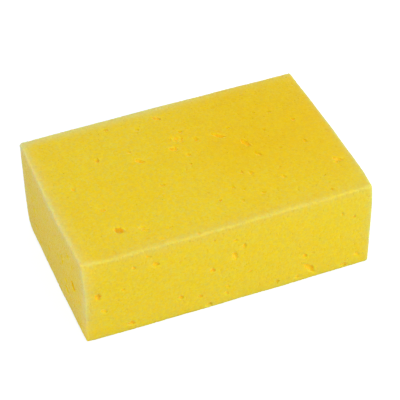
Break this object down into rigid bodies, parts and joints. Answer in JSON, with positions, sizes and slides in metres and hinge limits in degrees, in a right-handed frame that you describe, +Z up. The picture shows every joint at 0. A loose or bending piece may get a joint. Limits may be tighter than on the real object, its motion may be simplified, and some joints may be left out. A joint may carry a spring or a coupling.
{
  "type": "foam sponge block",
  "caption": "Rectangular block of dry open-cell foam for washing, grouting and sponging paint, with scattered voids in its sawn faces.",
  "frame": {"origin": "centre of the bottom face, the face the block rests on", "axes": "+X along the length, +Y across the width, +Z up through the thickness"},
  "size_m": [0.17, 0.11, 0.06],
  "materials": {
    "foam": "dry open-cell polyurethane foam, yellow, fully matt, sawn surface"
  },
  "bodies": {
    "root": {"foam_block": "foam"}
  },
  "joints": []
}
